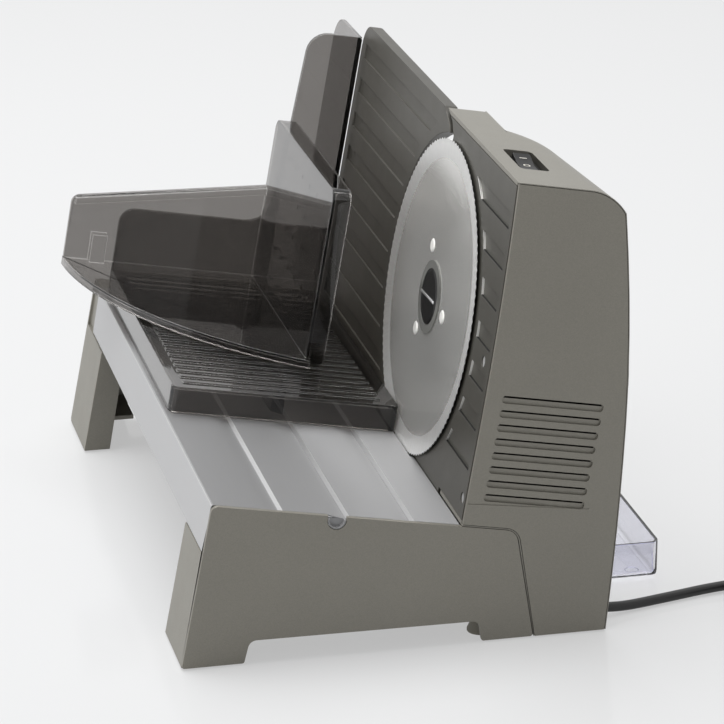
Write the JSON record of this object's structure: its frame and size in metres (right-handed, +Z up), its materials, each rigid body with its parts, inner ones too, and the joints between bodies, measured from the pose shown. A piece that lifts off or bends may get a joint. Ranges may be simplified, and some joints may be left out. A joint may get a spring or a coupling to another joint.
{
  "type": "electric food slicer",
  "caption": "Electric food slicer with a tilted ribbed deck, a geared round blade in a motor head, a sliding food carriage with pusher, a stop plate and a slice tray.",
  "frame": {"origin": "on the table in the middle of the base", "axes": "+Z up, +Y along the deck away from the near end panel, +X from the deck to the motor head"},
  "size_m": [0.4938, 0.4905, 0.2701],
  "materials": {
    "panel_paint": "satin metallic",
    "housing_paint": "satin metallic",
    "face_paint": "satin metallic",
    "deck_steel": "brushed",
    "frame_paint": "satin",
    "foot_rubber": "matte",
    "stop_paint": "satin metallic",
    "blade_steel": "turned",
    "black_plastic": "satin",
    "gear_nylon": "matte",
    "inner_plastic": "matte",
    "plain_steel": "ground",
    "motor_steel": "zinc",
    "magnet": "matte",
    "winding": "lacquered copper",
    "pinion_brass": "machined",
    "smoked_clear": "gloss",
    "clear": "gloss",
    "board": "matte",
    "white_plastic": "matte",
    "cord_black": "matte"
  },
  "bodies": {
    "base": {"near_end_panel": "panel_paint", "far_end_panel": "panel_paint", "deck_plate": "deck_steel", "base_beam": "frame_paint", "suction_feet": "foot_rubber", "motor_housing": "housing_paint", "side_cover": "panel_paint", "face_plate": "face_paint", "face_screws": "plain_steel", "bottom_cover": "inner_plastic", "bottom_screws": "plain_steel", "blade_spindle": "plain_steel", "intermediate_axle": "plain_steel", "drive_plate": "motor_steel", "motor_can": "motor_steel", "motor_magnets": "magnet", "motor_screws": "plain_steel", "switch_body": "black_plastic", "guide_rods": "plain_steel", "rectifier_board": "board", "terminal_block": "white_plastic", "cord_grip": "cord_black", "power_cord": "cord_black", "cord_coil": "cord_black", "cord_tail": "cord_black", "cord_tie": "black_plastic", "plug_body": "cord_black", "plug_pins": "plain_steel"},
    "blade": {"blade": "blade_steel", "hub_ring": "plain_steel", "blade_rivets": "plain_steel", "blade_gear": "gear_nylon"},
    "lock": {"blade_lock": "black_plastic"},
    "intermediate": {"intermediate_gear": "gear_nylon"},
    "rotor": {"motor_pinion": "pinion_brass", "motor_armature": "winding", "motor_shaft": "plain_steel", "motor_fan": "black_plastic"},
    "carriage": {"carriage": "smoked_clear"},
    "pusher": {"food_pusher": "smoked_clear"},
    "stop": {"stop_plate": "stop_paint", "stop_slider": "inner_plastic"},
    "knob": {"thickness_cam": "gear_nylon", "thickness_knob": "black_plastic"},
    "rocker": {"rocker_switch": "black_plastic"},
    "tray": {"slice_tray": "clear"}
  },
  "joints": [
    {"name": "blade_spin", "type": "hinge", "parent": "base", "child": "blade", "pos_m": [0.0536, -0.07, 0.16429], "axis": [0.9848, 0, -0.1736], "continuous": true},
    {"name": "lock_turn", "type": "hinge", "parent": "blade", "child": "lock", "pos_m": [0.0536, -0.07, 0.16429], "axis": [0.9848, 0, -0.1736], "range_deg": [0, 90]},
    {"name": "intermediate_spin", "type": "hinge", "parent": "base", "child": "intermediate", "pos_m": [0.04942, -0.11166, 0.14061], "axis": [0.9848, 0, -0.1736], "continuous": true},
    {"name": "motor_spin", "type": "hinge", "parent": "base", "child": "rotor", "pos_m": [0.04719, -0.14699, 0.12794], "axis": [0.9848, 0, -0.1736], "continuous": true},
    {"name": "carriage_slide", "type": "slide", "parent": "base", "child": "carriage", "axis": [0, 1, 0], "range_m": [-0.225, 0.02]},
    {"name": "pusher_slide", "type": "slide", "parent": "carriage", "child": "pusher", "axis": [0.9848, 0, -0.1736], "range_m": [-0.04, 0.034]},
    {"name": "stop_slide", "type": "slide", "parent": "base", "child": "stop", "axis": [0.9848, 0, -0.1736], "range_m": [0, 0.015]},
    {"name": "knob_turn", "type": "hinge", "parent": "base", "child": "knob", "pos_m": [0.0375, 0.212, 0.03848], "axis": [0, 1, 0], "range_deg": [0, 300]},
    {"name": "rocker_press", "type": "hinge", "parent": "base", "child": "rocker", "pos_m": [0.0901, -0.1415, 0.26072], "axis": [0.9848, 0, -0.1736], "range_deg": [-16, 0]},
    {"name": "tray_slide", "type": "slide", "parent": "base", "child": "tray", "axis": [1, 0, 0], "range_m": [0, 0.13]}
  ],
  "couplings": [
    {"joint": "intermediate_spin", "follows": "blade_spin", "ratio": -4.3333},
    {"joint": "motor_spin", "follows": "blade_spin", "ratio": 17.333},
    {"joint": "knob_turn", "follows": "stop_slide", "rad_per_m": 349.07}
  ]
}
